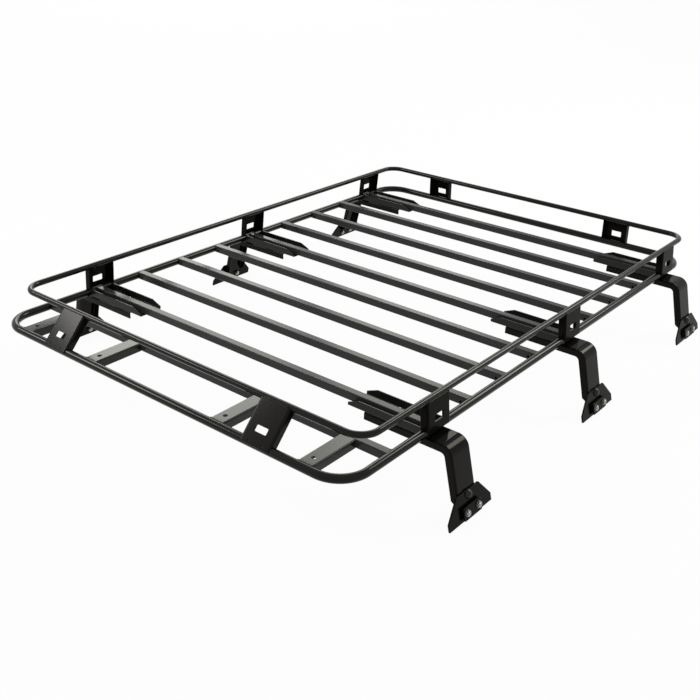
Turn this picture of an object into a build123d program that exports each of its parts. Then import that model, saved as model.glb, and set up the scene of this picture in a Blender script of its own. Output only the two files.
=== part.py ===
# Expedition roof rack: a welded tube basket on six clamp-on gutter legs.
# Millimetres, +Z up, front of the rack at -Y.
# The origin is under the middle of the rack, on the floor its six feet stand on.
import math
import os

from build123d import *

# Lower hoop: one inch round tube, bent at the four corners
LOW_D = 25.4
LOW_WALL = 2.0
HOOP_W = 1400.0
HOOP_L = 2037.6
LOW_BEND_R = 90.0

# Upper hoop: three quarter inch round tube above the lower one, set back at the nose
UP_D = 19.0
UP_WALL = 1.6
UP_INSET = 5.8
UP_RISE = 92.5
UP_FRONT_SET = 79.1
UP_REAR_SET = 0.0
UP_BEND_R = 58.0
SEAM_PAST_BEND = 30.0
COPE_TRIM = 5.0

# Floor slats and the nose crossbar: one inch square tube
SLAT = 25.4
SLAT_WALL = 2.0
SLAT_CORNER = 2.5
CROSSBAR_SET = 183.0
SLAT_FIRST = 365.7
SLAT_LAST = 180.5
SLAT_COUNT = 9
VENT_D = 8.0
VENT_FROM_RAIL = 25.0
VENT_DROP = 3.0

# Nose channels: folded strips from the crossbar to the front tube
NOSE_W = 50.0
NOSE_T = 3.0
NOSE_R = 5.0
NOSE_OUTER_SET = 127.0
NOSE_INNER_SET = 436.4
NOSE_HOLE_D = 13.0
NOSE_HOLE_SET = 36.0

# Gusset plates: folded channels that tie the two hoops together
GUS_W = 102.0
GUS_DEPTH = 25.0
GUS_T = 3.0
GUS_R = 6.0
GUS_SLOT_L = 40.0
GUS_SLOT_H = 22.0
GUS_SLOT_R = 3.0
GUS_SLOT_UP = 35.0
GUS_LAP = 2.0
GUS_TOP_SHORT = 4.0
END_GUS_SET = 279.0
NOSE_PLATE_SET = 283.5
NOSE_SLOT_UP = 39.0
NOSE_SLOT_H = 18.0
NOSE_LAP = 6.0
NOSE_PIN_D = 5.0
NOSE_PIN_PITCH = 46.0
NOSE_PIN_UP = 3.0

# Slide channels: troughs under the ends of the three leg slats
SLIDE_W = 88.0
SLIDE_T = 3.2
SLIDE_R = 5.0
SLIDE_H = 26.0
SLIDE_L = 260.5
SLIDE_CUT_L = 38.0
SLIDE_CUT_H = 15.0
SLIDE_FREE_HOLE = 25.0
SLIDE_SCREW_HOLE = 130.0
SLIDE_HOLE_D = 9.0

# Legs: pressed channels with the web outside
LEG_W = 86.0
LEG_T = 4.0
LEG_DEPTH = 23.0
LEG_R = 6.0
LEG_ARM_L = 204.0
LEG_BACK = 11.0
LEG_SLANT = 13.6
LEG_BEND_R = 38.0
LEG_OUT = 80.0
LEG_END_UP = 40.0
LEG_TRIM = 18.0
LEG_TRIM_STEP = 2.0
CUT_OVER = 1.0

# Feet: flared gutter plates on the legs, with a bolted clamp plate outside
RAIL_HEIGHT = 224.0
FOOT_T = 5.0
FOOT_TOP_W = 104.0
FOOT_BOTTOM_W = 202.0
FOOT_TOP_UP = 75.0
FOOT_END_H = 20.0
FOOT_CORNER = 4.0
CLAMP_W = 84.0
CLAMP_H = 37.0
CLAMP_T = 4.0
CLAMP_LIP = 5.0
CLAMP_UP = 3.0
BOLT_D = 10.0
BOLT_AF = 17.0
BOLT_HEAD = 6.4
BOLT_PITCH = 54.0
BOLT_UP = 22.0
CAP_D = 28.0
CAP_RISE = 10.0
CAP_UP = 63.0
NUT_REACH = 6.0

Z_LOW = RAIL_HEIGHT
Z_UP = Z_LOW + UP_RISE
Y_FRONT = -HOOP_L / 2
Y_REAR = HOOP_L / 2
LOW_R = LOW_D / 2
UP_R = UP_D / 2
UP_W = HOOP_W - 2 * UP_INSET
SLAT_PITCH = (HOOP_L - SLAT_FIRST - SLAT_LAST) / (SLAT_COUNT - 1)
SLAT_Y = [Y_FRONT + SLAT_FIRST + SLAT_PITCH * i for i in range(SLAT_COUNT)]
LEG_Y = [SLAT_Y[i] + LEG_BACK for i in (0, SLAT_COUNT // 2, SLAT_COUNT - 1)]
SIDES = ((-1, "left"), (1, "right"))

os.makedirs("parts", exist_ok=True)
NODES = {}


def node(name, *solids):
    """Keep one named piece, or several like ones that do not touch."""
    NODES[name] = list(solids)


def ring(plane, diameter, wall):
    """Tube section on a plane."""
    return plane * (Circle(diameter / 2) - Circle(diameter / 2 - wall))


def bow(width, y_seam, y_end, z, bend_r, diameter, wall):
    """One end of a hoop: a tube bent through both corners."""
    path = FilletPolyline(
        (-width / 2, y_seam, z),
        (-width / 2, y_end, z),
        (width / 2, y_end, z),
        (width / 2, y_seam, z),
        radius=bend_r,
    )
    start = Plane(origin=path @ 0, z_dir=path % 0)
    return sweep(ring(start, diameter, wall), path=path)


def straight(x, y0, y1, z, diameter, wall):
    """One side of a hoop: a straight tube between the two bows."""
    plane = Plane(origin=(x, y0, z), x_dir=(1, 0, 0), z_dir=(0, 1, 0))
    return extrude(ring(plane, diameter, wall), y1 - y0)


def bar_y(x, y0, y1, z, diameter):
    """Solid rod along Y, used to cope a piece onto a tube."""
    plane = Plane(origin=(x, y0, z), x_dir=(1, 0, 0), z_dir=(0, 1, 0))
    return extrude(plane * Circle(diameter / 2), y1 - y0)


def bar_x(x0, x1, y, z, diameter):
    """Solid rod along X, used to cope a piece onto a tube."""
    plane = Plane(origin=(x0, y, z), x_dir=(0, 1, 0), z_dir=(1, 0, 0))
    return extrude(plane * Circle(diameter / 2), x1 - x0)


# Hoops
def hoop(prefix, width, y_front, y_rear, z, bend_r, diameter, wall):
    """Front bow, rear bow and two side rails of one hoop."""
    seam_f = y_front + bend_r + SEAM_PAST_BEND
    seam_r = y_rear - bend_r - SEAM_PAST_BEND
    node(prefix + "_front_bow", bow(width, seam_f, y_front, z, bend_r, diameter, wall))
    node(prefix + "_rear_bow", bow(width, seam_r, y_rear, z, bend_r, diameter, wall))
    node(prefix + "_left_rail", straight(-width / 2, seam_f, seam_r, z, diameter, wall))
    node(prefix + "_right_rail", straight(width / 2, seam_f, seam_r, z, diameter, wall))


UP_Y_FRONT = Y_FRONT + UP_FRONT_SET
UP_Y_REAR = Y_REAR - UP_REAR_SET
hoop("lower", HOOP_W, Y_FRONT, Y_REAR, Z_LOW, LOW_BEND_R, LOW_D, LOW_WALL)
hoop("upper", UP_W, UP_Y_FRONT, UP_Y_REAR, Z_UP, UP_BEND_R, UP_D, UP_WALL)

# Slats and crossbar, coped onto the round side tubes
RAIL_CUT = [bar_y(side * HOOP_W / 2, Y_FRONT, Y_REAR, Z_LOW, LOW_D) for side in (-1, 1)]


def cross_tube(y, vents):
    """Square tube from side to side at one place along the rack."""
    half = HOOP_W / 2 - COPE_TRIM
    plane = Plane(origin=(-half, y, Z_LOW), x_dir=(0, 1, 0), z_dir=(1, 0, 0))
    outer = RectangleRounded(SLAT, SLAT, SLAT_CORNER)
    inner = Rectangle(SLAT - 2 * SLAT_WALL, SLAT - 2 * SLAT_WALL)
    tube = extrude(plane * (outer - inner), 2 * half)
    for cut in RAIL_CUT:
        tube -= cut
    if vents:
        for side in (-1, 1):
            x = side * (HOOP_W / 2 - VENT_FROM_RAIL)
            face = Plane(origin=(x, y - SLAT, Z_LOW - VENT_DROP), x_dir=(1, 0, 0), z_dir=(0, 1, 0))
            tube -= extrude(face * Circle(VENT_D / 2), SLAT)
    return tube


for i, y in enumerate(SLAT_Y):
    node("slat_%d" % (i + 1), cross_tube(y, True))
Y_CROSS = Y_FRONT + CROSSBAR_SET
node("nose_crossbar", cross_tube(Y_CROSS, False))


def channel_face(width, depth, thick, radius):
    """Folded channel section: web along X at the top, two flanges hanging down in -Y."""
    half = width / 2
    outer = Polyline((-half, -depth), (-half, 0), (half, 0), (half, -depth), close=True)
    solid = make_face(outer)
    solid = fillet(solid.vertices().group_by(Axis.Y)[-1], radius)
    inner_half = half - thick
    low = depth + thick
    cut = Polyline((-inner_half, -low), (-inner_half, -thick), (inner_half, -thick), (inner_half, -low), close=True)
    hole = make_face(cut)
    hole = fillet(hole.vertices().group_by(Axis.Y)[-1], max(radius - thick, 0.6))
    return solid - hole


# Nose channels
FRONT_ROD = bar_x(-HOOP_W / 2, HOOP_W / 2, Y_FRONT, Z_LOW, LOW_D)
NOSE = []
NOSE_PAIR = (HOOP_W / 2 - NOSE_OUTER_SET, HOOP_W / 2 - NOSE_INNER_SET)
for x in [side * half for side, word in SIDES for half in NOSE_PAIR]:
    start = Plane(origin=(x, Y_FRONT + COPE_TRIM, Z_LOW + SLAT / 2), x_dir=(-1, 0, 0), z_dir=(0, 1, 0))
    strip = extrude(start * channel_face(NOSE_W, SLAT, NOSE_T, NOSE_R), CROSSBAR_SET - SLAT / 2 - COPE_TRIM)
    strip -= FRONT_ROD
    top = Plane(origin=(x, Y_FRONT + NOSE_HOLE_SET, Z_LOW))
    strip -= extrude(top * Circle(NOSE_HOLE_D / 2), SLAT)
    NOSE.append(strip)
node("nose_channels", *NOSE)


# Gussets: the web of each lies on the outside of both tubes, its flanges are coped between them
def gusset(low, up, low_rod, up_rod, along, lap, slot_up, slot_h, pins):
    """Folded plate whose web lies on the common tangent plane of two tubes."""
    low = Vector(*low)
    up = Vector(*up)
    span = up - low
    length = span.length
    along = Vector(*along)
    outward = along.cross(span.normalized())
    tilt = math.asin((LOW_R - UP_R) / length)
    normal = outward * math.cos(tilt) + span.normalized() * math.sin(tilt)
    foot = low + normal * LOW_R
    head = up + normal * UP_R
    rise = (head - foot).normalized()
    base = Plane(origin=foot + normal * GUS_T - rise * lap, x_dir=along, z_dir=rise)
    section = channel_face(GUS_W, GUS_DEPTH, GUS_T, GUS_R)
    if base.y_dir.dot(normal) < 0:
        section = mirror(section, about=Plane.XZ)
    plate = extrude(base * section, (head - foot).length + lap - GUS_TOP_SHORT)
    plate -= low_rod
    plate -= up_rod
    face = Plane(origin=foot + rise * slot_up, x_dir=along, z_dir=normal)
    slot = RectangleRounded(GUS_SLOT_L, slot_h, GUS_SLOT_R)
    plate -= extrude(face * slot, GUS_T * 2, both=True)
    for pin in pins:
        place = Plane(origin=foot + rise * NOSE_PIN_UP + along * pin, x_dir=along, z_dir=normal)
        plate -= extrude(place * Circle(NOSE_PIN_D / 2), GUS_T * 2, both=True)
    return plate


SIDE_GUSSETS = {-1: [], 1: []}
for side in (-1, 1):
    low_rod = bar_y(side * HOOP_W / 2, Y_FRONT, Y_REAR, Z_LOW, LOW_D)
    up_rod = bar_y(side * UP_W / 2, Y_FRONT, Y_REAR, Z_UP, UP_D)
    for y in LEG_Y:
        low = (side * HOOP_W / 2, y, Z_LOW)
        up = (side * UP_W / 2, y, Z_UP)
        plate = gusset(low, up, low_rod, up_rod, (0, side, 0), GUS_LAP, GUS_SLOT_UP, GUS_SLOT_H, ())
        SIDE_GUSSETS[side].append(plate)
node("left_gussets", *SIDE_GUSSETS[-1])
node("right_gussets", *SIDE_GUSSETS[1])

REAR = []
NOSE_PLATES = []
rear_low = bar_x(-HOOP_W / 2, HOOP_W / 2, Y_REAR, Z_LOW, LOW_D)
rear_up = bar_x(-UP_W / 2, UP_W / 2, UP_Y_REAR, Z_UP, UP_D)
nose_up = bar_x(-UP_W / 2, UP_W / 2, UP_Y_FRONT, Z_UP, UP_D)
PINS = (-NOSE_PIN_PITCH / 2, NOSE_PIN_PITCH / 2)
for side, word in SIDES:
    x = side * (HOOP_W / 2 - END_GUS_SET)
    low = (x, Y_REAR, Z_LOW)
    up = (x, UP_Y_REAR, Z_UP)
    REAR.append(gusset(low, up, rear_low, rear_up, (-1, 0, 0), GUS_LAP, GUS_SLOT_UP, GUS_SLOT_H, ()))
    x = side * (HOOP_W / 2 - NOSE_PLATE_SET)
    low = (x, Y_FRONT, Z_LOW)
    up = (x, UP_Y_FRONT, Z_UP)
    NOSE_PLATES.append(gusset(low, up, FRONT_ROD, nose_up, (1, 0, 0), NOSE_LAP, NOSE_SLOT_UP, NOSE_SLOT_H, PINS))
node("rear_gussets", *REAR)
node("nose_plates", *NOSE_PLATES)


# Slide channels: troughs the slat ends lie in
Z_SLAT_LOW = Z_LOW - SLAT / 2
Z_SLIDE_LOW = Z_SLAT_LOW - SLIDE_T
SLIDE_INNER_X = HOOP_W / 2 - SLIDE_L
SCREW_X = SLIDE_INNER_X + SLIDE_SCREW_HOLE
SLIDE_SIDE_Y = SLAT / 2 + (SLIDE_W / 2 - SLIDE_T - SLAT / 2) / 2
STRIP_Y = [strip * SLIDE_SIDE_Y - LEG_BACK / 2 for strip in (-1, 1)]


def slide(side, y):
    """Trough open upwards, coped onto the side tube, flange ends cut down inside."""
    start = Plane(origin=(side * SLIDE_INNER_X, y, Z_SLIDE_LOW), x_dir=(0, side, 0), z_dir=(side, 0, 0))
    section = mirror(channel_face(SLIDE_W, SLIDE_H, SLIDE_T, SLIDE_R), about=Plane.XZ)
    trough = extrude(start * section, SLIDE_L)
    trough -= RAIL_CUT[0 if side < 0 else 1]
    end_x = side * SLIDE_INNER_X
    top_z = Z_SLIDE_LOW + SLIDE_H
    corner = make_face(
        Polyline(
            (end_x, y, top_z),
            (end_x + side * SLIDE_CUT_L, y, top_z),
            (end_x, y, top_z - SLIDE_CUT_H),
            close=True,
        )
    )
    trough -= extrude(corner, SLIDE_W, both=True)
    for hole_x in (SLIDE_INNER_X + SLIDE_FREE_HOLE, SCREW_X):
        for strip_y in STRIP_Y:
            place = Plane(origin=(side * hole_x, y + strip_y, Z_SLIDE_LOW))
            trough -= extrude(place * Circle(SLIDE_HOLE_D / 2), SLIDE_T * 2, both=True)
    return trough


for side, name in SIDES:
    node(name + "_slides", *[slide(side, y) for y in LEG_Y])


# Legs: one channel section swept along the arm, round the bend and down the slant
SLANT = math.radians(LEG_SLANT)
DOWN = (math.sin(SLANT), -math.cos(SLANT))
NORMAL = (math.cos(SLANT), math.sin(SLANT))
LEG_DROP = (Z_SLIDE_LOW - LEG_END_UP) / math.cos(SLANT)
LEG_INNER_X = HOOP_W / 2 - LEG_ARM_L
LEG_CORNER_X = HOOP_W / 2 + LEG_OUT


def leg_point(side, along, out, y):
    """Point in the slanted leg plane: along the leg from its upper corner, out from its web."""
    x = LEG_CORNER_X + DOWN[0] * along + NORMAL[0] * out
    z = Z_SLIDE_LOW + DOWN[1] * along + NORMAL[1] * out
    return (side * x, y, z)


def leg(side, y):
    """Pressed leg with its web on top of the arm and outside the drop."""
    path = FilletPolyline(
        (side * LEG_INNER_X, y, Z_SLIDE_LOW),
        (side * LEG_CORNER_X, y, Z_SLIDE_LOW),
        leg_point(side, LEG_DROP, 0, y),
        radius=LEG_BEND_R,
    )
    start = Plane(origin=path @ 0, x_dir=(0, side, 0), z_dir=(side, 0, 0))
    body = sweep(start * channel_face(LEG_W, LEG_DEPTH, LEG_T, LEG_R), path=path)
    trim = make_face(
        Polyline(
            leg_point(side, LEG_DROP + CUT_OVER, -LEG_T - LEG_TRIM_STEP, y),
            leg_point(side, LEG_DROP + CUT_OVER, -LEG_DEPTH - CUT_OVER, y),
            leg_point(side, LEG_DROP - LEG_TRIM, -LEG_DEPTH - CUT_OVER, y),
            close=True,
        )
    )
    body -= extrude(trim, LEG_W, both=True)
    for strip_y in STRIP_Y:
        place = Plane(origin=(side * SCREW_X, y + strip_y, Z_SLIDE_LOW))
        body -= extrude(place * Circle(SLIDE_HOLE_D / 2), LEG_T * 2, both=True)
    return body


# Feet: flared plate flat on the leg's web, its lower edge trimmed level with the floor
def drop_at(height, out):
    """Distance down the leg at which a point that far out of the web reaches a height."""
    return (Z_SLIDE_LOW + NORMAL[1] * out - height) / math.cos(SLANT)


def foot_plane(side, y, out):
    """Sketch plane on the outside of the leg: X along the rack, Y up the slant."""
    origin = leg_point(side, 0, out, y)
    return Plane(origin=origin, x_dir=(0, side, 0), z_dir=(side * NORMAL[0], 0, NORMAL[1]))


def foot(side, y):
    """Flared gutter plate with holes for the two clamp bolts and the cap."""
    top = -drop_at(FOOT_TOP_UP, 0)
    low = -drop_at(-FOOT_T, 0)
    end = -drop_at(FOOT_END_H, 0)
    a = FOOT_TOP_W / 2
    b = FOOT_BOTTOM_W / 2
    outline = Polyline(
        (-b, low),
        (b, low),
        (b, end),
        (a, top),
        (-a, top),
        (-b, end),
        close=True,
    )
    face = make_face(outline)
    face = fillet(face.vertices().group_by(Axis.Y)[-1], FOOT_CORNER)
    for x in (-BOLT_PITCH / 2, BOLT_PITCH / 2):
        face -= Pos(x, -drop_at(BOLT_UP, 0)) * Circle(BOLT_D / 2)
    plate = extrude(foot_plane(side, y, 0) * face, FOOT_T)
    floor = Pos(side * LEG_CORNER_X, y, -RAIL_HEIGHT / 2) * Box(RAIL_HEIGHT * 2, FOOT_BOTTOM_W * 2, RAIL_HEIGHT)
    return plate - floor


def clamp(side, y):
    """Outer clamp plate with a lip that bears on the foot plate above the gutter."""
    up = -drop_at(CLAMP_UP, 0)
    base = foot_plane(side, y, FOOT_T)
    plate = Pos(0, up + CLAMP_H / 2) * RectangleRounded(CLAMP_W, CLAMP_H, FOOT_CORNER)
    for x in (-BOLT_PITCH / 2, BOLT_PITCH / 2):
        plate -= Pos(x, -drop_at(BOLT_UP, 0)) * Circle(BOLT_D / 2)
    outer = extrude(base.offset(CLAMP_LIP) * plate, CLAMP_T)
    lip = Pos(0, up + CLAMP_H - CLAMP_T / 2 - FOOT_CORNER) * Rectangle(CLAMP_W - 2 * FOOT_CORNER, CLAMP_T)
    return outer + extrude(base * lip, CLAMP_LIP)


def bolt(side, y, x):
    """Hex bolt through clamp and foot plate with its nut behind."""
    base = foot_plane(side, y, 0)
    spot = Pos(x, -drop_at(BOLT_UP, 0))
    face = FOOT_T + CLAMP_LIP + CLAMP_T
    head = extrude(base.offset(face) * spot * RegularPolygon(BOLT_AF / 2, 6, major_radius=False), BOLT_HEAD)
    tail = BOLT_HEAD + NUT_REACH
    shank = extrude(base.offset(-tail) * spot * Circle(BOLT_D / 2), face + tail)
    nut = extrude(base.offset(-BOLT_HEAD) * spot * RegularPolygon(BOLT_AF / 2, 6, major_radius=False), BOLT_HEAD)
    return head + shank + nut


def cap(side, y):
    """Black domed cap on the upper middle of the foot plate."""
    base = foot_plane(side, y, FOOT_T)
    spot = Pos(0, -drop_at(CAP_UP, 0))
    dome_r = (CAP_D * CAP_D / 4 + CAP_RISE * CAP_RISE) / (2 * CAP_RISE)
    ball = base * spot * Pos(0, 0, CAP_RISE - dome_r) * Sphere(dome_r)
    return ball & extrude(base * spot * Circle(CAP_D / 2), CAP_RISE + CUT_OVER)


PLACES = ("front", "middle", "rear")
for side, name in SIDES:
    for place, y in zip(PLACES, LEG_Y):
        node("leg_%s_%s" % (name, place), leg(side, y))
        node("foot_%s_%s" % (name, place), foot(side, y))
    node("clamps_" + name, *[clamp(side, y) for y in LEG_Y])
    bolts = [bolt(side, y, x) for y in LEG_Y for x in (-BOLT_PITCH / 2, BOLT_PITCH / 2)]
    node("clamp_bolts_" + name, *bolts)
    node("foot_caps_" + name, *[cap(side, y) for y in LEG_Y])

for name, solids in NODES.items():
    bodies = [body for piece in solids for body in piece.solids()]
    whole = Compound(children=bodies) if len(bodies) > 1 else bodies[0]
    export_step(whole, "parts/%s.step" % name)
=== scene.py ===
import math

import bmesh
import bpy
from mathutils import Matrix, Vector


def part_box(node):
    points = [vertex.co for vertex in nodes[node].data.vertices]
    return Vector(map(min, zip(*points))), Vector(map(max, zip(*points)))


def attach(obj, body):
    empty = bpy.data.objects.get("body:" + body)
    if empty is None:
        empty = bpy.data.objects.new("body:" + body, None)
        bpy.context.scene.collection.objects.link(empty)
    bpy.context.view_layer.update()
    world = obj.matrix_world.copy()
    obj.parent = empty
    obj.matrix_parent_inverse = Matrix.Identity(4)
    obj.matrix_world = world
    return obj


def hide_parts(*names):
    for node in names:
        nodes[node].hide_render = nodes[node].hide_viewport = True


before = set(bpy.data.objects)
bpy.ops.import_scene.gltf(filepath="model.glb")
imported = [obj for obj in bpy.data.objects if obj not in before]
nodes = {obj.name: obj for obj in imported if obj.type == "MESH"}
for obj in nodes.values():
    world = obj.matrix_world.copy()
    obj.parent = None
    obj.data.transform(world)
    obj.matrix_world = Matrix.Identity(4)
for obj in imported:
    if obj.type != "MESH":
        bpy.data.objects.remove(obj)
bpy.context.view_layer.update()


# Lower hoop: one inch round steel tube, bent at the four corners of the floor.
# It is powder coated black after welding, so the coat has a fine orange peel,
# thins on edges and holds a little dust on its upper side. The paler line on
# edges is partly that thinner coat and partly a painted highlight.
THIN_COAT_AND_HIGHLIGHT = (0.060, 0.058, 0.054)
THIN_AND_HIGHLIGHT_SHARE = 0.55
THIN_DULL = 0.08
DUST_COLOUR = (0.20, 0.19, 0.165)
DUST_DULL = 0.5
PEEL_DEPTH = 0.0005


def group_sockets(tree, inputs, outputs):
    """Give a node group its named sockets and return its two end nodes."""
    for name, kind, value in inputs:
        socket = tree.interface.new_socket(name, in_out="INPUT", socket_type=kind)
        if value is not None:
            socket.default_value = value
    for name, kind in outputs:
        tree.interface.new_socket(name, in_out="OUTPUT", socket_type=kind)
    return tree.nodes.new("NodeGroupInput"), tree.nodes.new("NodeGroupOutput")


def math_node(tree, operation, first, second, clamp=False):
    """One Math node fed by sockets or plain numbers."""
    made = tree.nodes.new("ShaderNodeMath")
    made.operation = operation
    made.use_clamp = clamp
    for socket, value in zip(made.inputs, (first, second)):
        if isinstance(value, (int, float)):
            socket.default_value = value
        else:
            tree.links.new(value, socket)
    return made.outputs[0]


def noise_node(tree, vector, scale, detail, roughness=0.5):
    """One noise texture read at a vector."""
    made = tree.nodes.new("ShaderNodeTexNoise")
    tree.links.new(vector, made.inputs["Vector"])
    made.inputs["Scale"].default_value = scale
    made.inputs["Detail"].default_value = detail
    made.inputs["Roughness"].default_value = roughness
    return made.outputs["Fac"]


def build_peel_group():
    """Orange peel of a baked powder coat: a height and a slow unevenness of gloss."""
    tree = bpy.data.node_groups.new("coat_peel", "ShaderNodeTree")
    entry, leave = group_sockets(
        tree,
        [("Vector", "NodeSocketVector", None), ("Fine", "NodeSocketFloat", 0.35)],
        [("Height", "NodeSocketFloat"), ("Cloud", "NodeSocketFloat")],
    )
    place = entry.outputs["Vector"]
    lumps = noise_node(tree, place, scale=420.0, detail=2.0)
    grit = noise_node(tree, place, scale=1500.0, detail=1.0)
    cloud = noise_node(tree, place, scale=9.0, detail=2.0)
    fine_grit = math_node(tree, "MULTIPLY", grit, entry.outputs["Fine"])
    tree.links.new(math_node(tree, "ADD", lumps, fine_grit), leave.inputs["Height"])
    tree.links.new(cloud, leave.inputs["Cloud"])
    return tree


def build_edge_group():
    """Outside edges: their eased normal, and a broken mask along them, for the thinner coat and
    a painted edge highlight.
    """
    bend_gain = 6.0
    gap_level, gap_gain = 0.38, 3.2
    tree = bpy.data.node_groups.new("coat_edges", "ShaderNodeTree")
    entry, leave = group_sockets(
        tree,
        [("Vector", "NodeSocketVector", None), ("Radius", "NodeSocketFloat", 0.0015)],
        [("Mask", "NodeSocketFloat"), ("Normal", "NodeSocketVector")],
    )
    round_off = tree.nodes.new("ShaderNodeBevel")
    round_off.samples = 6
    tree.links.new(entry.outputs["Radius"], round_off.inputs["Radius"])
    surface = tree.nodes.new("ShaderNodeNewGeometry")
    alike = tree.nodes.new("ShaderNodeVectorMath")
    alike.operation = "DOT_PRODUCT"
    tree.links.new(round_off.outputs["Normal"], alike.inputs[0])
    tree.links.new(surface.outputs["Normal"], alike.inputs[1])
    bend = math_node(tree, "SUBTRACT", 1.0, alike.outputs["Value"])
    strong = math_node(tree, "MULTIPLY", bend, bend_gain, clamp=True)
    patches = noise_node(tree, entry.outputs["Vector"], scale=60.0, detail=5.0, roughness=0.65)
    above = math_node(tree, "SUBTRACT", patches, gap_level)
    broken = math_node(tree, "MULTIPLY", above, gap_gain, clamp=True)
    mask = math_node(tree, "MULTIPLY", strong, broken, clamp=True)
    tree.links.new(mask, leave.inputs["Mask"])
    tree.links.new(round_off.outputs["Normal"], leave.inputs["Normal"])
    return tree


def build_dust_group():
    """Thin film of dust on faces that look up, in soft drifts."""
    up_power = 3.0
    speck_floor = 0.4
    tree = bpy.data.node_groups.new("settled_dust", "ShaderNodeTree")
    entry, leave = group_sockets(
        tree,
        [("Vector", "NodeSocketVector", None), ("Amount", "NodeSocketFloat", 0.5)],
        [("Mask", "NodeSocketFloat")],
    )
    surface = tree.nodes.new("ShaderNodeNewGeometry")
    parts = tree.nodes.new("ShaderNodeSeparateXYZ")
    tree.links.new(surface.outputs["Normal"], parts.inputs[0])
    lifted = math_node(tree, "MAXIMUM", parts.outputs["Z"], 0.0)
    up = math_node(tree, "POWER", lifted, up_power)
    drift = noise_node(tree, entry.outputs["Vector"], scale=14.0, detail=3.0)
    speck = noise_node(tree, entry.outputs["Vector"], scale=90.0, detail=2.0)
    mixed = math_node(tree, "MULTIPLY", drift, math_node(tree, "ADD", speck, speck_floor))
    laid = math_node(tree, "MULTIPLY", up, mixed)
    mask = math_node(tree, "MULTIPLY", laid, entry.outputs["Amount"], clamp=True)
    tree.links.new(mask, leave.inputs["Mask"])
    return tree


peel_group = build_peel_group()
edge_group = build_edge_group()
dust_group = build_dust_group()


def place_group(tree, group, vector, **values):
    """Put a shared group into a material with its own values."""
    made = tree.nodes.new("ShaderNodeGroup")
    made.node_tree = group
    tree.links.new(vector, made.inputs["Vector"])
    for name, value in values.items():
        made.inputs[name].default_value = value
    return made


def mix_colour(tree, mask, first, second):
    """Blend two colours by a mask."""
    made = tree.nodes.new("ShaderNodeMix")
    made.data_type = "RGBA"
    tree.links.new(mask, made.inputs["Factor"])
    for socket, value in ((made.inputs[6], first), (made.inputs[7], second)):
        if isinstance(value, tuple):
            socket.default_value = (*value, 1.0)
        else:
            tree.links.new(value, socket)
    return made.outputs[2]


def map_range(tree, value, low, high):
    """Spread a 0 to 1 value over a new range."""
    made = tree.nodes.new("ShaderNodeMapRange")
    tree.links.new(value, made.inputs["Value"])
    made.inputs["To Min"].default_value = low
    made.inputs["To Max"].default_value = high
    return made.outputs["Result"]


def add_bump(tree, shader, height, strength, distance):
    """Bump a shader's surface by a height and return the bump node."""
    bump = tree.nodes.new("ShaderNodeBump")
    bump.inputs["Strength"].default_value = strength
    bump.inputs["Distance"].default_value = distance
    tree.links.new(height, bump.inputs["Height"])
    tree.links.new(bump.outputs["Normal"], shader.inputs["Normal"])
    return bump


def powder_coat(name, black, deep_black, rough, shine, tint, peel, dust, edge_radius):
    """Semi-gloss black powder coat on steel, with its own depth of colour and gloss."""
    made = bpy.data.materials.new(name)
    made.use_nodes = True
    tree = made.node_tree
    shader = tree.nodes["Principled BSDF"]
    place = tree.nodes.new("ShaderNodeTexCoord").outputs["Object"]
    grain = place_group(tree, peel_group, place)
    edges = place_group(tree, edge_group, place, Radius=edge_radius)
    settled = place_group(tree, dust_group, place, Amount=dust)
    cloud, thin_and_highlight, dusty = grain.outputs["Cloud"], edges.outputs["Mask"], settled.outputs["Mask"]
    paint = mix_colour(tree, cloud, deep_black, black)
    # Paler edges: partly the thinning coat, partly a painted highlight along them.
    thinned_and_highlit = mix_colour(tree, math_node(tree, "MULTIPLY", thin_and_highlight, THIN_AND_HIGHLIGHT_SHARE), paint, THIN_COAT_AND_HIGHLIGHT)
    tree.links.new(mix_colour(tree, dusty, thinned_and_highlit, DUST_COLOUR), shader.inputs["Base Color"])
    base = map_range(tree, cloud, *rough)
    dulled = math_node(tree, "ADD", base, math_node(tree, "MULTIPLY", dusty, DUST_DULL))
    worn = math_node(tree, "MULTIPLY", thin_and_highlight, THIN_DULL)
    tree.links.new(math_node(tree, "ADD", dulled, worn, clamp=True), shader.inputs["Roughness"])
    bump = add_bump(tree, shader, grain.outputs["Height"], peel, PEEL_DEPTH)
    tree.links.new(edges.outputs["Normal"], bump.inputs["Normal"])
    shader.inputs["Specular IOR Level"].default_value = shine
    shader.inputs["Specular Tint"].default_value = (*tint, 1.0)
    return made


def dress(node_names, material):
    """Give CAD pieces a finished material in their own slot."""
    for node_name in node_names:
        nodes[node_name].material_slots[0].material = material


tube_coat = powder_coat(
    "black_coat_tube",
    black=(0.0056, 0.0052, 0.0046),
    deep_black=(0.0034, 0.0032, 0.0029),
    rough=(0.11, 0.16),
    shine=0.16,
    tint=(1.0, 0.99, 0.92),
    peel=0.012,
    dust=0.02,
    edge_radius=0.0012,
)
dress([n for n in nodes if n.startswith("lower_")], tube_coat)


# Upper hoop: three quarter inch round tube of the same coat, set back at the nose.
# The thinner bar takes the straps, so its gloss is a little more rubbed; like the
# lower hoop it is two bent ends joined by two straight sides.
rail_coat = powder_coat(
    "black_coat_rail",
    black=(0.0058, 0.0054, 0.0048),
    deep_black=(0.0036, 0.0034, 0.0030),
    rough=(0.11, 0.17),
    shine=0.16,
    tint=(1.0, 0.99, 0.92),
    peel=0.012,
    dust=0.02,
    edge_radius=0.0012,
)
dress([n for n in nodes if n.startswith("upper_")], rail_coat)
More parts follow.
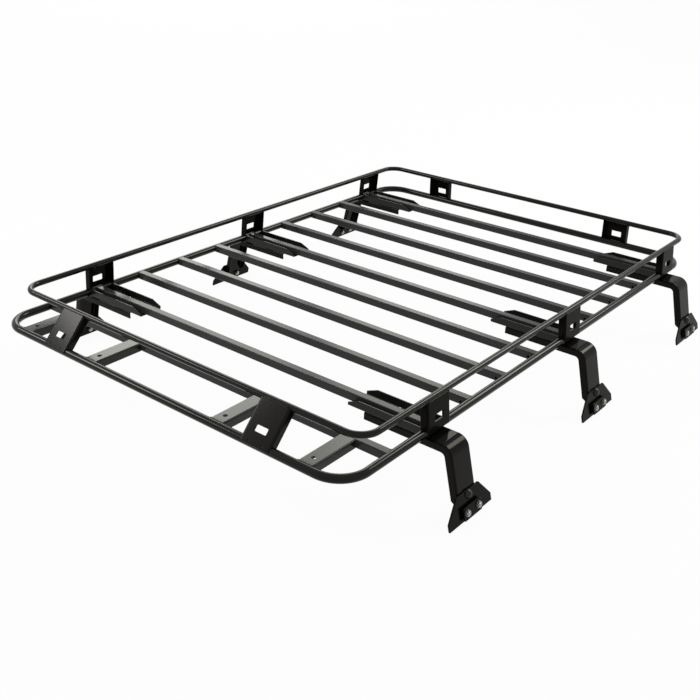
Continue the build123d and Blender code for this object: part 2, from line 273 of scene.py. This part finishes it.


# Floor slats and nose crossbar: one inch square steel tube, coped onto the side
# tubes. Their coat is painted a lighter grey than the tubes' coat, painted light
# that brightens their faces. A rippled weld bead runs up each side of a slat's end
# and over its top.
slat_coat = powder_coat(
    "black_coat_slat",
    black=(0.0390, 0.0390, 0.0393),
    deep_black=(0.0330, 0.0330, 0.0333),
    rough=(0.16, 0.22),
    shine=0.11,
    tint=(1.0, 1.0, 0.98),
    peel=0.012,
    dust=0.02,
    edge_radius=0.0026,
)
cross_names = sorted(n for n in nodes if n.startswith("slat_")) + ["nose_crossbar"]
dress(cross_names, slat_coat)
weld_coat = powder_coat(
    "black_coat_weld",
    black=(0.0080, 0.0075, 0.0068),
    deep_black=(0.0046, 0.0044, 0.0040),
    rough=(0.20, 0.30),
    shine=0.16,
    tint=(1.0, 0.99, 0.92),
    peel=0.05,
    dust=0.03,
    edge_radius=0.0010,
)


def middle(node_name):
    """Middle of a CAD piece's box."""
    low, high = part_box(node_name)
    return (low + high) / 2


TUBE_R = 0.0127
SLAT_HALF = 0.0127
BEAD_R = 0.0019
BEAD_PITCH = 0.0026
BEAD_SIDES = 8
BEAD_TIP = 0.45
RIPPLE_LOW = 0.84
RIPPLE_RISE = 0.16
WANDER = 0.05
WANDER_RATE = 1.7
COPE_STEPS = 6
COPE_LOW = -50
COPE_HIGH = 64
MERGE = 1e-6
SHARP = math.radians(40)
half_rack = middle("lower_right_rail").x
floor_z = middle("slat_1").z


def even_steps(corners, pitch):
    """Points at an even pitch along a line with corners."""
    spots = [corners[0]]
    for start, end in zip(corners, corners[1:]):
        count = max(1, round((end - start).length / pitch))
        spots += [start.lerp(end, (k + 1) / count) for k in range(count)]
    return spots


def draw_out(shape, cap):
    """Draw a new ring and cap out of a cap, and return both."""
    grown = bmesh.ops.extrude_face_region(shape, geom=[cap, *cap.edges])["geom"]
    ring = [part for part in grown if isinstance(part, bmesh.types.BMVert)]
    return ring, next(part for part in grown if isinstance(part, bmesh.types.BMFace))


def lay_bead(bead, corners, radius):
    """Draw one rippled weld bead along a line."""
    spots = even_steps(corners, BEAD_PITCH)
    last = len(spots) - 1
    sizes = [
        RIPPLE_LOW + RIPPLE_RISE * (k % 2) + WANDER * math.sin(WANDER_RATE * k)
        for k in range(last + 1)
    ]
    sizes[0] = sizes[last] = BEAD_TIP
    heading = (spots[1] - spots[0]).normalized()
    start = Matrix.LocRotScale(spots[0], heading.to_track_quat("Z", "Y"), None)
    ring = bmesh.ops.create_circle(
        bead, cap_ends=True, segments=BEAD_SIDES, radius=radius * sizes[0], matrix=start
    )["verts"]
    cap = ring[0].link_faces[0]
    for k in range(1, last + 1):
        bearing = (spots[min(k + 1, last)] - spots[k - 1]).normalized()
        ring, cap = draw_out(bead, cap)
        growth = Vector.Fill(3, sizes[k] / sizes[k - 1])
        swing = Matrix.LocRotScale(spots[k], heading.rotation_difference(bearing), growth)
        bmesh.ops.transform(bead, matrix=swing @ Matrix.Translation(-spots[k - 1]), verts=ring)
        heading = bearing


def cope_line(centre, inward, side_step, low, high):
    """Line on a tube up the side of a piece that is coped onto it, between two angles."""
    line = []
    for k in range(COPE_STEPS + 1):
        angle = math.radians(low + (high - low) * k / COPE_STEPS)
        rim = inward * (TUBE_R * math.cos(angle)) + Vector((0, 0, TUBE_R * math.sin(angle)))
        line.append(centre + side_step + rim)
    return line


def cope_loop(centre, inward, across):
    """Line up one side of a coped end, over its top and down the other side."""
    near = cope_line(centre, inward, -across, COPE_LOW, COPE_HIGH)
    far = cope_line(centre, inward, across, COPE_LOW, COPE_HIGH)
    return near + far[::-1]


def add_piece(name, shape, material):
    """Make a finished shape a named piece that rides on the rack."""
    bmesh.ops.remove_doubles(shape, verts=shape.verts, dist=MERGE)
    bmesh.ops.recalc_face_normals(shape, faces=shape.faces)
    for face in shape.faces:
        face.smooth = True
    mesh = bpy.data.meshes.new(name)
    shape.to_mesh(mesh)
    shape.free()
    mesh.set_sharp_from_angle(angle=SHARP)
    mesh.materials.append(material)
    piece = bpy.data.objects.new(name, mesh)
    bpy.context.scene.collection.objects.link(piece)
    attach(piece, "root")
    return piece


slat_beads = bmesh.new()
for cross_name in cross_names:
    for side in (-1, 1):
        joint = Vector((side * half_rack, middle(cross_name).y, floor_z))
        loop = cope_loop(joint, Vector((-side, 0, 0)), Vector((0, SLAT_HALF, 0)))
        lay_bead(slat_beads, loop, BEAD_R)
add_piece("slat_welds", slat_beads, weld_coat)


# Nose channels: four folded strips of sheet steel from the crossbar to the front
# tube, each with a round hole for a lamp stud. They are coped onto the tube and
# welded at both ends, then coated with the rest.
plate_coat = powder_coat(
    "black_coat_plate",
    black=(0.0130, 0.0125, 0.0118),
    deep_black=(0.0100, 0.0097, 0.0092),
    rough=(0.17, 0.21),
    shine=0.24,
    tint=(1.0, 1.0, 0.95),
    peel=0.010,
    dust=0.01,
    edge_radius=0.0022,
)
dress(["nose_channels"], plate_coat)
CHANNEL_HALF = 0.025
CHANNEL_OUTER_X = 0.573
CHANNEL_INNER_X = 0.2636
CHANNEL_WELD_HALF = SLAT_HALF * 0.8
front_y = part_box("lower_front_bow")[0].y + TUBE_R
bar_face_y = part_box("nose_crossbar")[0].y
nose_beads = bmesh.new()
for x in (-CHANNEL_OUTER_X, -CHANNEL_INNER_X, CHANNEL_INNER_X, CHANNEL_OUTER_X):
    joint = Vector((x, front_y, floor_z))
    loop = cope_loop(joint, Vector((0, 1, 0)), Vector((CHANNEL_HALF, 0, 0)))
    lay_bead(nose_beads, loop, BEAD_R)
    for side in (-1, 1):
        low = Vector((x + side * CHANNEL_HALF, bar_face_y, floor_z - CHANNEL_WELD_HALF))
        high = Vector((x + side * CHANNEL_HALF, bar_face_y, floor_z + CHANNEL_WELD_HALF))
        lay_bead(nose_beads, [low, high], BEAD_R)
add_piece("nose_channel_welds", nose_beads, weld_coat)


# Gussets and nose plates: folded sheet steel with a strap slot, laid on the
# outside of both hoops. The fold lines catch the light, the cut edges have the
# thinnest coat with a painted highlight along them, and a bead runs along the
# lower and the upper edge of each web.
gusset_coat = powder_coat(
    "black_coat_gusset",
    black=(0.0056, 0.0050, 0.0043),
    deep_black=(0.0036, 0.0032, 0.0028),
    rough=(0.13, 0.19),
    shine=0.03,
    tint=(1.0, 0.95, 0.84),
    peel=0.008,
    dust=0.01,
    edge_radius=0.0024,
)
dress(["left_gussets", "right_gussets", "rear_gussets"], gusset_coat)
nose_coat = powder_coat(
    "black_coat_nose",
    black=(0.0056, 0.0050, 0.0043),
    deep_black=(0.0040, 0.0036, 0.0031),
    rough=(0.13, 0.15),
    shine=0.10,
    tint=(1.0, 0.98, 0.92),
    peel=0.008,
    dust=0.01,
    edge_radius=0.0024,
)
dress(["nose_plates"], nose_coat)
RAIL_R = 0.0095
WEB_HALF = 0.042
WEB_LAP = 0.002
WEB_SHORT = 0.004
NOSE_LAP = 0.006
NOSE_BEAD_R = 0.0014
LOWER_DROP = 0.0004
LOWER_PROUD = 0.0003
UPPER_LIFT = 0.0010
UPPER_PROUD = 0.0008
END_PLATE_X = 0.421
NOSE_PLATE_X = 0.4165
rear_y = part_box("lower_rear_bow")[1].y - TUBE_R
rail_z = middle("upper_right_rail").z
rail_x = middle("upper_right_rail").x
rail_front_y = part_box("upper_front_bow")[0].y + RAIL_R
rail_rear_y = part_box("upper_rear_bow")[1].y - RAIL_R
leg_ys = [middle("leg_right_" + place).y for place in ("front", "middle", "rear")]


def web_frame(low, up, outward):
    """Foot, head, rise and outward normal of a web that lies on two tubes."""
    span = up - low
    out = (outward - span * (outward.dot(span) / span.length_squared)).normalized()
    tilt = math.asin((TUBE_R - RAIL_R) / span.length)
    normal = out * math.cos(tilt) + span.normalized() * math.sin(tilt)
    foot = low + normal * TUBE_R
    head = up + normal * RAIL_R
    return foot, head, (head - foot).normalized(), normal


def weld_web(bead, low, up, outward, along, lap, radius):
    """Beads along the lower and upper edge of one web."""
    foot, head, rise, normal = web_frame(low, up, outward)
    lower = foot - rise * (lap + LOWER_DROP) + normal * LOWER_PROUD
    upper = head - rise * (WEB_SHORT - UPPER_LIFT) + normal * UPPER_PROUD
    for spot in (lower, upper):
        lay_bead(bead, [spot - along * WEB_HALF, spot + along * WEB_HALF], radius)


web_beads = bmesh.new()
for side in (-1, 1):
    for y in leg_ys:
        low = Vector((side * half_rack, y, floor_z))
        up = Vector((side * rail_x, y, rail_z))
        weld_web(web_beads, low, up, Vector((side, 0, 0)), Vector((0, 1, 0)), WEB_LAP, BEAD_R)
    low = Vector((side * END_PLATE_X, rear_y, floor_z))
    up = Vector((side * END_PLATE_X, rail_rear_y, rail_z))
    weld_web(web_beads, low, up, Vector((0, 1, 0)), Vector((1, 0, 0)), WEB_LAP, BEAD_R)
    low = Vector((side * NOSE_PLATE_X, front_y, floor_z))
    up = Vector((side * NOSE_PLATE_X, rail_front_y, rail_z))
    weld_web(web_beads, low, up, Vector((0, -1, 0)), Vector((1, 0, 0)), NOSE_LAP, NOSE_BEAD_R)
add_piece("gusset_welds", web_beads, weld_coat)


# Plug welds of the nose plates: two small holes near the lower edge of each plate
# are filled with weld metal, which fuses the plate to the front tube. The filling
# is a low dome under the coat.
PLUG_R = 0.0025
PLUG_PITCH = 0.046
PLUG_UP = 0.003
PLUG_PROUD = 0.0004
PLUG_SQUASH = 0.8
plugs = bmesh.new()
for side in (-1, 1):
    low = Vector((side * NOSE_PLATE_X, front_y, floor_z))
    up = Vector((side * NOSE_PLATE_X, rail_front_y, rail_z))
    foot, _, rise, normal = web_frame(low, up, Vector((0, -1, 0)))
    upright = normal.to_track_quat("Z", "Y")
    for step in (-0.5, 0.5):
        spot = foot + rise * PLUG_UP + Vector((PLUG_PITCH * step, 0, 0)) + normal * PLUG_PROUD
        squat = Matrix.LocRotScale(spot, upright, Vector((1.0, 1.0, PLUG_SQUASH)))
        bmesh.ops.create_uvsphere(
            plugs, u_segments=12, v_segments=8, radius=PLUG_R, matrix=squat
        )
add_piece("nose_plate_plugs", plugs, weld_coat)


# Slides: troughs of folded sheet under the ends of three slats, open at the top.
# They are stitch welded along the slat's lower corners and welded to the side tube
# on the outside of each flange.
# The slide coat is painted lighter than the tubes' coat: painted light that brightens the
# shaded inside of each trough.
slide_coat = powder_coat(
    "black_coat_slide",
    black=(0.0180, 0.0175, 0.0168),
    deep_black=(0.0130, 0.0127, 0.0122),
    rough=(0.18, 0.26),
    shine=0.15,
    tint=(1.0, 0.98, 0.93),
    peel=0.010,
    dust=0.02,
    edge_radius=0.0014,
)
dress(["left_slides", "right_slides"], slide_coat)
SLIDE_HALF = 0.044
SLIDE_COPE_LOW = -62
SLIDE_COPE_HIGH = 48
STITCHES = ((0.488, 0.516), (0.600, 0.628), (0.652, 0.680))
STITCH_R = BEAD_R * 1.2
slide_beads = bmesh.new()
for side in (-1, 1):
    inward = Vector((-side, 0, 0))
    for y, slat_name in zip(leg_ys, ("slat_1", "slat_5", "slat_9")):
        joint = Vector((side * half_rack, y, floor_z))
        slat_y = middle(slat_name).y
        for flank in (-1, 1):
            flange = Vector((0, flank * SLIDE_HALF, 0))
            line = cope_line(joint, inward, flange, SLIDE_COPE_LOW, SLIDE_COPE_HIGH)
            lay_bead(slide_beads, line, BEAD_R)
            seam = Vector((0, slat_y + flank * SLAT_HALF, floor_z - SLAT_HALF))
            for stitch in STITCHES:
                ends = [seam + Vector((side * x, 0, 0)) for x in stitch]
                lay_bead(slide_beads, ends, STITCH_R)
add_piece("slide_welds", slide_beads, weld_coat)


# Legs: channels pressed from four millimetre steel, bent over at the shoulder, with
# the arm bolted under a slide. The coat is thick here, and the bend is where the
# broad face takes the light.
leg_coat = powder_coat(
    "black_coat_leg",
    black=(0.0046, 0.0041, 0.0035),
    deep_black=(0.0030, 0.0028, 0.0024),
    rough=(0.08, 0.12),
    shine=0.075,
    tint=(1.0, 0.95, 0.84),
    peel=0.008,
    dust=0.01,
    edge_radius=0.0020,
)
dress([n for n in nodes if n.startswith("leg_")], leg_coat)


# Slide screws: zinc plated hex screws, two to a leg, that hold the arm under its
# slide. The nut stands on the floor of the trough on a washer with the end of the
# thread above it, and the head is under the arm.
ZINC_DEEP = (0.19, 0.19, 0.175)
ZINC_PALE = (0.34, 0.34, 0.32)
ZINC_RUB_AND_HIGHLIGHT = (0.50, 0.50, 0.48)
ZINC_ROUGH = (0.16, 0.28)


def zinc_plate(name):
    """Bright zinc plating over turned steel."""
    made = bpy.data.materials.new(name)
    made.use_nodes = True
    tree = made.node_tree
    shader = tree.nodes["Principled BSDF"]
    place = tree.nodes.new("ShaderNodeTexCoord").outputs["Object"]
    grain = place_group(tree, peel_group, place, Fine=0.6)
    edges = place_group(tree, edge_group, place, Radius=0.0008)
    spangle = noise_node(tree, place, scale=650.0, detail=3.0)
    plated = mix_colour(tree, spangle, ZINC_DEEP, ZINC_PALE)
    # Paler edges: partly plating rubbed thin, partly a painted highlight.
    rubbed_and_highlit = mix_colour(tree, edges.outputs["Mask"], plated, ZINC_RUB_AND_HIGHLIGHT)
    tree.links.new(rubbed_and_highlit, shader.inputs["Base Color"])
    tree.links.new(map_range(tree, spangle, *ZINC_ROUGH), shader.inputs["Roughness"])
    shader.inputs["Metallic"].default_value = 1.0
    add_bump(tree, shader, grain.outputs["Height"], strength=0.08, distance=0.0004)
    return made


bright_zinc = zinc_plate("bright_zinc")
HEX = 6
HEX_EASE = 0.22
RIM_EASE = 0.18
RIM_LEVEL = 0.9
THREAD_SIDES = 14
THREAD_ROOT = 0.86


def turned_disc(shape, place, bottom, height, radius, segments):
    """Round or six-sided block standing on a plane, with its upper corners eased."""
    made = bmesh.ops.create_cone(
        shape,
        cap_ends=True,
        segments=segments,
        radius1=radius,
        radius2=radius,
        depth=height,
        matrix=place @ Matrix.Translation((0, 0, bottom + height / 2)),
    )
    to_plane = place.inverted()
    rim_z = bottom + height * RIM_LEVEL
    rim = [v for v in made["verts"] if (to_plane @ v.co).z > rim_z]
    if segments == HEX:
        geom, offset, affect = rim, height * HEX_EASE, "VERTICES"
    else:
        geom = [e for e in shape.edges if e.verts[0] in rim and e.verts[1] in rim]
        offset, affect = height * RIM_EASE, "EDGES"
    bmesh.ops.bevel(
        shape, geom=geom, offset=offset, affect=affect, segments=2, profile=0.5, material=-1
    )


def thread_end(shape, place, bottom, turns, pitch, radius):
    """End of a screw's thread: a stack of ridges drawn up out of one disc."""
    seat = place @ Matrix.Translation((0, 0, bottom))
    ring = bmesh.ops.create_circle(
        shape, cap_ends=True, segments=THREAD_SIDES, radius=radius * THREAD_ROOT, matrix=seat
    )["verts"]
    cap = ring[0].link_faces[0]
    upward = (place.to_3x3() @ Vector((0, 0, 1))).normalized()
    for flank in range(turns * 2):
        ring, cap = draw_out(shape, cap)
        bmesh.ops.translate(shape, vec=upward * pitch / 2, verts=ring)
        size = 1 / THREAD_ROOT if flank % 2 == 0 else THREAD_ROOT
        hub = Matrix.Translation(-cap.calc_center_median())
        bmesh.ops.scale(shape, vec=Vector.Fill(3, size), space=hub, verts=ring)


SCREW_X = 0.5695
SCREW_NEAR = -0.03225
SCREW_FAR = 0.02125
ARM_T = 0.0072
SINK = 0.0001
SCREW_WASHER_T = 0.0016
SCREW_WASHER_R = 0.0078
SCREW_WASHER_SIDES = 20
SCREW_NUT_Z = 0.0014
SCREW_NUT_T = 0.0052
SCREW_NUT_R = 0.0070
HEAD_WASHER_R = 0.0064
HEAD_T = 0.0046
HEAD_R = 0.0062
trough_z = floor_z - SLAT_HALF
upside_down = Matrix.Rotation(math.pi, 4, "X")
screws = bmesh.new()
for side in (-1, 1):
    for y in leg_ys:
        for offset in (SCREW_NEAR, SCREW_FAR):
            over = Matrix.Translation((side * SCREW_X, y + offset, trough_z))
            turned_disc(screws, over, -SINK, SCREW_WASHER_T, SCREW_WASHER_R, SCREW_WASHER_SIDES)
            turned_disc(screws, over, SCREW_NUT_Z, SCREW_NUT_T, SCREW_NUT_R, HEX)
            thread_end(screws, over, bottom=0.0060, turns=4, pitch=0.0011, radius=0.0036)
            arm_spot = Matrix.Translation((side * SCREW_X, y + offset, trough_z - ARM_T))
            under = arm_spot @ upside_down
            turned_disc(screws, under, -SINK, SCREW_WASHER_T, HEAD_WASHER_R, SCREW_WASHER_SIDES)
            turned_disc(screws, under, SCREW_NUT_Z, HEAD_T, HEAD_R, HEX)
add_piece("slide_screws", screws, bright_zinc)


# Feet and clamps: plate cut with a flared lower edge that hooks the rain gutter,
# and a small plate that is drawn against it. Both are coated like the legs, and
# their cut edges show the coat at its thinnest, with a painted highlight along them.
foot_coat = powder_coat(
    "black_coat_foot",
    black=(0.0048, 0.0043, 0.0037),
    deep_black=(0.0030, 0.0027, 0.0023),
    rough=(0.14, 0.20),
    shine=0.05,
    tint=(1.0, 0.94, 0.82),
    peel=0.008,
    dust=0.01,
    edge_radius=0.0022,
)
plate_starts = ("foot_left", "foot_right", "clamps_")
dress([n for n in nodes if n.startswith(plate_starts)], foot_coat)


# Clamp bolts: zinc plated, with a nut and washer outside that pull the clamp plate
# against the foot and let the end of the thread stand out, and a second nut behind.
# The thread between the plates is bare, as the coat is baked on before assembly.
SLANT = math.radians(13.6)
FOOT_T = 0.005
CLAMP_FACE = 0.014
BOLT_UP = 0.022
BOLT_PITCH = 0.054
NUT_R = 0.0098
NUT_T = 0.0046
REAR_NUT_T = 0.0064
WASHER_R = 0.0100
WASHER_T = 0.0014
WASHER_SIDES = 24
THREAD_R = 0.005
outer_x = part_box("foot_right_front")[1].x
web_x = outer_x - FOOT_T / math.cos(SLANT) - BOLT_UP * math.tan(SLANT)
for side, side_name in ((-1, "left"), (1, "right")):
    bolts = bmesh.new()
    axis = Vector((side * math.cos(SLANT), 0, math.sin(SLANT)))
    lean = axis.to_track_quat("Z", "Y").to_matrix().to_4x4()
    for y in leg_ys:
        for step in (-0.5, 0.5):
            web = Matrix.Translation((side * web_x, y + BOLT_PITCH * step, BOLT_UP)) @ lean
            seat = web @ Matrix.Translation((0, 0, CLAMP_FACE))
            turned_disc(bolts, seat, 0.0, WASHER_T, WASHER_R, WASHER_SIDES)
            turned_disc(bolts, seat, WASHER_T - SINK, NUT_T, NUT_R, HEX)
            thread_end(bolts, web, bottom=0.0, turns=6, pitch=0.0013, radius=THREAD_R)
            thread_end(bolts, seat, bottom=-0.0060, turns=8, pitch=0.00164, radius=THREAD_R)
            behind = web @ upside_down
            turned_disc(bolts, behind, 0.0, REAR_NUT_T, NUT_R, HEX)
            thread_end(bolts, behind, bottom=0.0058, turns=4, pitch=0.0015, radius=THREAD_R)
    fastened = add_piece("bolts_" + side_name, bolts, bright_zinc)
    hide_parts("clamp_bolts_" + side_name)


# Domed caps: black fixings pressed over the upper bolt of each foot plate. They
# are moulded, so their gloss is softer than the coat round them, with no edge
# wear to speak of.
cap_coat = powder_coat(
    "black_cap",
    black=(0.0044, 0.0043, 0.0041),
    deep_black=(0.0030, 0.0029, 0.0028),
    rough=(0.26, 0.34),
    shine=0.24,
    tint=(1.0, 1.0, 1.0),
    peel=0.02,
    dust=0.01,
    edge_radius=0.0010,
)
dress(["foot_caps_left", "foot_caps_right"], cap_coat)


# Floor and light: a pale floor that runs out of sight, two tall panels behind the
# rack on its left, a strip behind it on its right and one before its left side.
# The light from behind is a touch warm.
FLOOR_HALF = 60.0
FLOOR_GLOW = 0.95
SKY_FILL = 0.42
SKY_SEEN = 0.58
WHITE = (1.0, 1.0, 1.0)
WARM = (0.98, 1.0, 0.91)
RACK_MIDDLE = (0.0, 0.0, 0.25)


def seen_rays(tree):
    """Rays that show a surface: straight, mirrored or through something."""
    ray = tree.nodes.new("ShaderNodeLightPath").outputs
    mirrored = math_node(tree, "MAXIMUM", ray["Is Glossy Ray"], ray["Is Transmission Ray"])
    return math_node(tree, "MAXIMUM", ray["Is Camera Ray"], mirrored)


bed = bmesh.new()
bmesh.ops.create_grid(bed, x_segments=2, y_segments=2, size=FLOOR_HALF)
floor_mesh = bpy.data.meshes.new("floor")
bed.to_mesh(floor_mesh)
bed.free()
floor = bpy.data.objects.new("floor", floor_mesh)
bpy.context.scene.collection.objects.link(floor)
paper = bpy.data.materials.new("pale_floor")
paper.use_nodes = True
paper.cycles.emission_sampling = "NONE"
paper_tree = paper.node_tree
paper_shader = paper_tree.nodes["Principled BSDF"]
paper_shader.inputs["Base Color"].default_value = (0.80, 0.80, 0.80, 1.0)
paper_shader.inputs["Roughness"].default_value = 0.9
paper_shader.inputs["Specular IOR Level"].default_value = 0.1
glow = paper_tree.nodes.new("ShaderNodeEmission")
glow.inputs["Color"].default_value = (*WHITE, 1.0)
glow.inputs["Strength"].default_value = 1.0
share = math_node(paper_tree, "MULTIPLY", seen_rays(paper_tree), FLOOR_GLOW)
blend = paper_tree.nodes.new("ShaderNodeMixShader")
paper_tree.links.new(share, blend.inputs[0])
paper_tree.links.new(paper_shader.outputs[0], blend.inputs[1])
paper_tree.links.new(glow.outputs[0], blend.inputs[2])
paper_tree.links.new(blend.outputs[0], paper_tree.nodes["Material Output"].inputs["Surface"])
floor_mesh.materials.append(paper)

world = bpy.data.worlds.new("studio")
bpy.context.scene.world = world
world.use_nodes = True
sky = world.node_tree
backdrop = sky.nodes["Background"]
backdrop.inputs["Color"].default_value = (*WHITE, 1.0)
sky_seen = math_node(sky, "MULTIPLY", seen_rays(sky), SKY_SEEN)
sky.links.new(math_node(sky, "ADD", sky_seen, SKY_FILL), backdrop.inputs["Strength"])


def softbox(name, place, aim, width, height, power, colour):
    """One rectangular soft light."""
    data = bpy.data.lights.new(name, "AREA")
    data.shape = "RECTANGLE"
    data.size = width
    data.size_y = height
    data.energy = power
    data.color = colour
    made = bpy.data.objects.new(name, data)
    made.location = place
    made.rotation_mode = "QUATERNION"
    made.rotation_quaternion = (Vector(aim) - Vector(place)).to_track_quat("-Z", "Y")
    bpy.context.scene.collection.objects.link(made)


softbox(
    "back_panel",
    place=(-6.72, 9.94, 7.6),
    aim=RACK_MIDDLE,
    width=2.8,
    height=6.2,
    power=230.0,
    colour=WARM,
)
softbox(
    "left_panel",
    place=(-9.58, 7.22, 6.6),
    aim=RACK_MIDDLE,
    width=4.0,
    height=7.0,
    power=370.0,
    colour=WARM,
)
softbox(
    "rear_strip",
    place=(2.2, 4.3, 3.93),
    aim=RACK_MIDDLE,
    width=2.2,
    height=2.6,
    power=180.0,
    colour=WARM,
)
softbox(
    "left_strip",
    place=(-4.1, -3.3, 3.25),
    aim=(-0.2, -0.6, 0.25),
    width=2.2,
    height=1.3,
    power=115.0,
    colour=WHITE,
)


# Camera: stands before the right front corner, a little over the rack, and is
# turned a degree and a half about its own line of sight, as the photograph is framed.
SENSOR = 36.0
PICTURE_PX = 700.0
FOCAL_PX = 965.7
EYE = (1.8908, -2.5061, 1.5293)
azimuth = math.radians(38.516)
elevation = math.radians(26.298)
roll = math.radians(1.520)
camera_data = bpy.data.cameras.new("camera")
camera_data.sensor_width = SENSOR
camera_data.sensor_fit = "HORIZONTAL"
camera_data.lens = FOCAL_PX / PICTURE_PX * SENSOR
camera_data.clip_end = 500.0
camera = bpy.data.objects.new("camera", camera_data)
bpy.context.scene.collection.objects.link(camera)
bpy.context.scene.camera = camera
reach = math.cos(elevation)
back = Vector((math.sin(azimuth) * reach, -math.cos(azimuth) * reach, math.sin(elevation)))
level = Vector((math.cos(azimuth), math.sin(azimuth), 0.0))
upright = back.cross(level)
right = level * math.cos(roll) + upright * math.sin(roll)
top = upright * math.cos(roll) - level * math.sin(roll)
turn = Matrix((right, top, back)).transposed().to_4x4()
camera.matrix_world = Matrix.Translation(EYE) @ turn

bpy.context.scene.view_settings.view_transform = "Standard"
